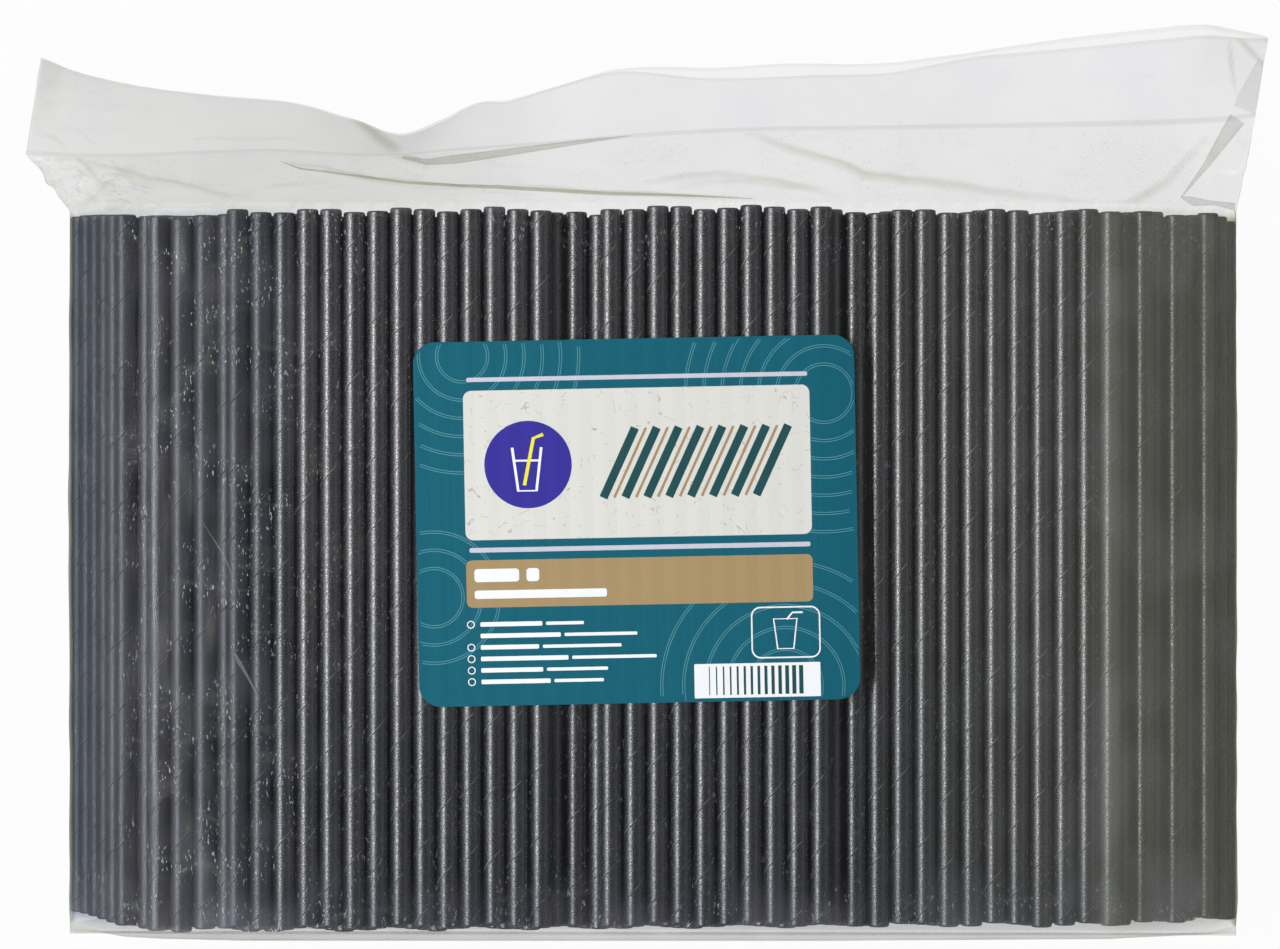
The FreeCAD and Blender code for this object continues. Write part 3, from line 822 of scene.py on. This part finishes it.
def label_point(a, b, rise):
    """A place on the label, from its middle across and up, as a point of the frame."""
    x = LABEL_MIDDLE[0] + a * math.cos(LABEL_TURN) - b * math.sin(LABEL_TURN)
    y = LABEL_MIDDLE[1] + a * math.sin(LABEL_TURN) + b * math.cos(LABEL_TURN)
    return x, y, label_ripple(x, y) + rise


def rounded(a0, b0, a1, b1, radius, steps=6):
    """Outline of a rectangle with rounded corners."""
    outline = []
    corners = ((a1 - radius, b1 - radius, 0), (a0 + radius, b1 - radius, 90))
    corners += ((a0 + radius, b0 + radius, 180), (a1 - radius, b0 + radius, 270))
    for ca, cb, start in corners:
        for i in range(steps + 1):
            angle = math.radians(start + 90 * i / steps)
            outline.append((ca + radius * math.cos(angle), cb + radius * math.sin(angle)))
    return outline


def disc(a, b, radius, steps):
    """Outline of a disc."""
    turns = [2 * math.pi * i / steps for i in range(steps)]
    return [(a + radius * math.cos(t), b + radius * math.sin(t)) for t in turns]


def stroke(route, width, closed=False):
    """Quads that make a line of this width along a route."""
    route = [np.array(p, float) for p in route]
    sides = []
    for i, p in enumerate(route):
        before = route[i - 1] if i or closed else p
        after = route[(i + 1) % len(route)] if i + 1 < len(route) or closed else p
        along = after - before
        along /= max(np.linalg.norm(along), 1e-9)
        off = np.array((-along[1], along[0])) * width / 2
        sides.append((p + off, p - off))
    pairs = list(zip(sides, sides[1:] + sides[:1] if closed else sides[1:]))
    return [(a[0], a[1], b[1], b[0]) for a, b in pairs]


def inside_label(a, b):
    """Whether a place on the label is clear of its rounded edge."""
    da = max(0.0, abs(a) - LABEL_SIZE[0] / 2 + LABEL_CORNER)
    db = max(0.0, abs(b) - LABEL_SIZE[1] / 2 + LABEL_CORNER)
    return math.hypot(da, db) < LABEL_CORNER - PRINT_MARGIN


def cut_across(sheet, step):
    """Cuts a flat sheet into bands this wide, so that it can follow the straws under it."""
    for cut in np.arange(*LABEL_CUTS, step):
        everything = sheet.verts[:] + sheet.edges[:] + sheet.faces[:]
        bmesh.ops.bisect_plane(sheet, geom=everything, plane_co=(cut, 0, 0), plane_no=(1, 0, 0), dist=1e-4)


def printed(name, shapes, level, material):
    """One colour of the print: flat shapes laid on the label's face."""
    sheet = bmesh.new()
    for shape in shapes:
        corners = [sheet.verts.new((a, b, 0)) for a, b in shape]
        sheet.faces.new(corners)
    bmesh.ops.triangulate(sheet, faces=sheet.faces)
    cut_across(sheet, STRAW_PITCH / 2)
    sheet.verts.index_update()
    points = [label_point(v.co.x, v.co.y, LABEL_THICK + PRINT_STEP * level) for v in sheet.verts]
    faces = [[v.index for v in f.verts] for f in sheet.faces]
    sheet.free()
    piece = new_piece(name, points, faces, material, smooth=False)
    upright = bmesh.new()
    upright.from_mesh(piece.data)
    bmesh.ops.recalc_face_normals(upright, faces=upright.faces)
    for face in upright.faces:
        if face.normal.z < 0:
            face.normal_flip()
    upright.to_mesh(piece.data)
    upright.free()


def in_order(points, faces):
    """The same mesh with its points and faces in an order that doesn't change from run to run."""
    order = sorted(range(len(points)), key=lambda i: points[i])
    place = {old: new for new, old in enumerate(order)}
    return [points[i] for i in order], sorted([place[i] for i in face] for face in faces)


def make_label_base(material):
    """The label's paper: a thin rounded sheet with an edge."""
    half_a, half_b = LABEL_SIZE[0] / 2, LABEL_SIZE[1] / 2
    sheet = bmesh.new()
    outline = rounded(-half_a, -half_b, half_a, half_b, LABEL_CORNER, 12)
    sheet.faces.new([sheet.verts.new((a, b, 0)) for a, b in outline])
    cut_across(sheet, STRAW_PITCH / 4)
    for vert in sheet.verts:
        vert.co = label_point(vert.co.x, vert.co.y, 0.0)
    top = bmesh.ops.extrude_face_region(sheet, geom=sheet.faces[:])["geom"]
    for item in top:
        if isinstance(item, bmesh.types.BMVert):
            item.co.z += LABEL_THICK
    bmesh.ops.recalc_face_normals(sheet, faces=sheet.faces)
    sheet.verts.index_update()
    points = [tuple(v.co) for v in sheet.verts]
    points, faces = in_order(points, [[v.index for v in f.verts] for f in sheet.faces])
    sheet.free()
    piece = new_piece("label_base", points, faces, material, smooth=False)
    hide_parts("label")


def ripple_lines():
    """Thin double rings that spread from four places under the print, cut off at the label's edge."""
    steps = 96
    quads = []
    for ca, cb, radii in (
        (-47, 46, (7, 12, 17, 22, 27, 32)),
        (52, 34, (8, 13, 18, 23, 28, 33, 38)),
        (40, -46, (10, 16, 22, 28, 34)),
        (-56, -20, (8, 13, 18)),
    ):
        for radius in radii:
            for gap in (-0.32, 0.32):
                turns = [math.radians(360 * i / steps) for i in range(steps + 1)]
                at = radius + gap
                route = [(ca + at * math.cos(t), cb + at * math.sin(t)) for t in turns]
                for quad in stroke(route, 0.2):
                    if all(inside_label(a, b) for a, b in quad):
                        quads.append(quad)
    return quads


def make_print():
    """The label's generic print, one piece for each colour, in millimetres from the label's middle."""
    cream = print_paper("label_cream", (0.66, 0.655, 0.615), 0.03, 0.5, flecks=True)
    tan = print_paper("label_tan", (0.36, 0.255, 0.125), 0.07)
    # The silver ink is drawn as a matte pale grey in place of metal: a painted reflection of its shine.
    silver = print_paper("label_silver", (0.55, 0.55, 0.63), 0.1, 0.35)
    indigo = print_paper("label_indigo", (0.036, 0.028, 0.29), 0.04)
    white = print_paper("label_white", (0.82, 0.84, 0.86), 0.02)
    pale = print_paper("label_pale_line", (0.09, 0.28, 0.33), 0.08)
    dark = print_paper("label_dark", (0.012, 0.07, 0.075), 0.05)
    yellow = print_paper("label_yellow", (0.78, 0.72, 0.05), 0.03)
    make_label_base(print_paper("label_teal", (0.0068, 0.108, 0.155), 0.05, 0.4))

    printed("label_rings", ripple_lines(), 1, pale)
    printed("label_panel", [rounded(-47, -4.5, 48, 36.5, 2.2)], 2, cream)
    printed("label_band", [rounded(-47, -23.0, 48, -10.0, 1.6)], 2, tan)
    rules = [rounded(-46, 38.9, 47.5, 40.1, 0.5), rounded(-46, -7.9, 47.5, -6.6, 0.5)]
    printed("label_rules", rules, 2, silver)

    printed("label_roundel", [disc(-29.5, 16.0, 12.0, 48)], 3, indigo)
    tumbler = [(-33.8, 20.7), (-32.3, 8.8), (-27.3, 8.8), (-25.8, 20.7)]
    glass = stroke(tumbler, 0.75) + stroke([(-33.2, 17.1), (-26.4, 17.1)], 0.55)
    printed("label_glass", glass, 4, white)
    printed("label_glass_straw", stroke([(-30.6, 10.3), (-27.9, 23.2), (-25.2, 24.2)], 0.95), 5, yellow)

    rods = [stroke([(a, 6.5), (a + 9.0, 25.5)], 2.3)[0] for a in np.arange(-9.0, 34.0, 6.0)]
    printed("label_rods", rods, 3, dark)
    ticks = [stroke([(a + 3.0, 6.5), (a + 12.0, 25.5)], 0.7)[0] for a in np.arange(-9.0, 28.0, 6.0)]
    printed("label_rods_between", ticks, 3, tan)

    white_shapes = [rounded(-44.8, -16.0, -32.5, -12.4, 0.9), rounded(-30.5, -16.0, -27.0, -12.4, 0.9)]
    white_shapes += [rounded(-44.8, -20.6, -8.5, -18.3, 0.7)]
    for line, (bold, plain) in enumerate(((17, 13), (22, 25), (16, 27), (24, 29), (17, 21), (19, 17))):
        b = -27.6 - 3.15 * line
        if line != 1:
            white_shapes += stroke(disc(-46.0, b, 0.95, 18), 0.28, closed=True)
        white_shapes.append(rounded(-43.4, b - 0.62, -43.4 + bold, b + 0.62, 0.3, 3))
        white_shapes.append(rounded(-42.4 + bold, b - 0.45, -42.4 + bold + plain * 0.8, b + 0.45, 0.3, 3))
    frame_line = rounded(31.0, -38.2, 49.6, -24.4, 2.4, 8)
    white_shapes += stroke(frame_line, 0.42, closed=True)
    cup = [(37.0, -27.6), (38.0, -35.8), (42.4, -35.8), (43.4, -27.6)]
    white_shapes += stroke(cup, 0.45, closed=True)
    white_shapes += stroke([(40.6, -27.8), (42.2, -25.9), (45.0, -25.9)], 0.5)
    white_shapes.append(rounded(15.0, -49.0, 49.6, -39.6, 0.2, 2))
    printed("label_white_print", white_shapes, 3, white)
    bars = []
    for i in range(14):
        a = 19.0 + 1.9 * i
        bars.append(rounded(a, -48.2, a + 0.25 + 0.07 * i, -40.4, 0.05, 1))
    printed("label_bars", bars, 4, dark)


# Camera, lights and floor


def make_camera():
    """The photo's camera, looking straight down."""
    data = bpy.data.cameras.new("camera")
    data.sensor_width = SENSOR_MM
    data.lens = FOCAL_PIXELS / PHOTO_WIDTH * SENSOR_MM
    camera = bpy.data.objects.new("camera", data)
    camera.location = Vector(CAMERA_MM) * MM
    bpy.context.scene.collection.objects.link(camera)
    bpy.context.scene.camera = camera


def area_light(name, place, size, radiance, colour=(1, 1, 1)):
    """A lamp turned to the pack, with its level width and its height, as bright at any size."""
    data = bpy.data.lights.new(name, "AREA")
    data.shape = "RECTANGLE"
    data.size, data.size_y = size
    data.energy = radiance * math.pi * size[0] * size[1]
    data.color = colour
    light = bpy.data.objects.new(name, data)
    light.location = place
    light.rotation_euler = (Vector(LIT_PLACE) - Vector(place)).to_track_quat("-Z", "Y").to_euler()
    bpy.context.scene.collection.objects.link(light)


def make_lights():
    """Two long lamps at the left, whose gleam runs along the straws, and weak ones all round."""
    area_light("strip", (-1.04, 0.02, 1.13), (2.4, 0.25), 17.5, (1.0, 1.0, 0.99))
    area_light("strip_side", (-1.35, 0.02, 0.78), (2.4, 0.3), 3.5, (0.88, 0.87, 1.0))
    area_light("box_left", (-1.2, 0.1, 0.8), (3.0, 0.8), 0.15)
    area_light("box_right", (1.2, 0.1, 0.8), (3.0, 0.8), 0.35)
    area_light("box_back", (0.5, 0.95, 0.75), (1.2, 0.6), 0.9)
    area_light("box_front", (0.5, -0.95, 0.75), (1.2, 0.6), 0.9)


def make_world():
    """White to the eye and through clear pieces, and a weak light on the pack."""
    world = bpy.data.worlds.new("studio")
    bpy.context.scene.world = world
    world.use_nodes = True
    nodes, links = world.node_tree.nodes, world.node_tree.links
    nodes.clear()
    path = nodes.new("ShaderNodeLightPath")
    dim, bright = nodes.new("ShaderNodeBackground"), nodes.new("ShaderNodeBackground")
    dim.inputs["Color"].default_value = (0.93, 0.96, 1.0, 1)
    dim.inputs["Strength"].default_value = 0.1
    bright.inputs["Strength"].default_value = 1.0
    bright.inputs["Color"].default_value = (1, 1, 1, 1)
    chosen = nodes.new("ShaderNodeMixShader")
    output = nodes.new("ShaderNodeOutputWorld")
    either = nodes.new("ShaderNodeMath")
    either.operation = "MAXIMUM"
    links.new(path.outputs["Is Camera Ray"], either.inputs[0])
    links.new(path.outputs["Is Transmission Ray"], either.inputs[1])
    links.new(either.outputs[0], chosen.inputs[0])
    links.new(dim.outputs[0], chosen.inputs[1])
    links.new(bright.outputs[0], chosen.inputs[2])
    links.new(chosen.outputs[0], output.inputs["Surface"])


def make_floor():
    """A floor that looks white and keeps a little of the pack's shadow."""
    n = Nodes("floor")
    path = n.add("ShaderNodeLightPath")
    mirrored = n.math("MULTIPLY", path.outputs["Is Glossy Ray"], 0.2)
    seen = n.math("MAXIMUM", path.outputs["Is Camera Ray"], mirrored)
    seen = n.math("MAXIMUM", seen, path.outputs["Is Transmission Ray"])
    matte = n.surface(Base_Color=(0.45, 0.45, 0.45, 1), Roughness=0.9)
    glow = n.add("ShaderNodeEmission")
    glow.inputs["Strength"].default_value = 1.0
    material = n.finish(n.blend(n.math("MULTIPLY", seen, 0.96), matte, glow.outputs[0]))
    mesh = bpy.data.meshes.new("floor")
    corners = [(x * FLOOR_HALF, y * FLOOR_HALF, 0) for x, y in ((-1, -1), (1, -1), (1, 1), (-1, 1))]
    mesh.from_pydata(corners, [], [(0, 1, 2, 3)])
    mesh.materials.append(material)
    floor = bpy.data.objects.new("floor", mesh)
    bpy.context.scene.collection.objects.link(floor)


def main():
    """The whole scene."""
    bpy.context.scene.view_settings.view_transform = "Standard"
    make_camera()
    make_world()
    make_lights()
    make_floor()
    paper = straw_paper()
    nodes = sorted(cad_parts)
    straws = []
    for node in nodes:
        if node.startswith("straw_row_"):
            straws += make_straws(node.replace("straw_", "straws_"), [node], ROW_SIDES, paper)
    top = [node for node in nodes if node.startswith("straw_top_")]
    straws += make_straws("straws_top", top, TOP_SIDES, paper)
    film = clear_film()
    make_folded_over(Film(straws).piece(film), film)
    make_print()


main()
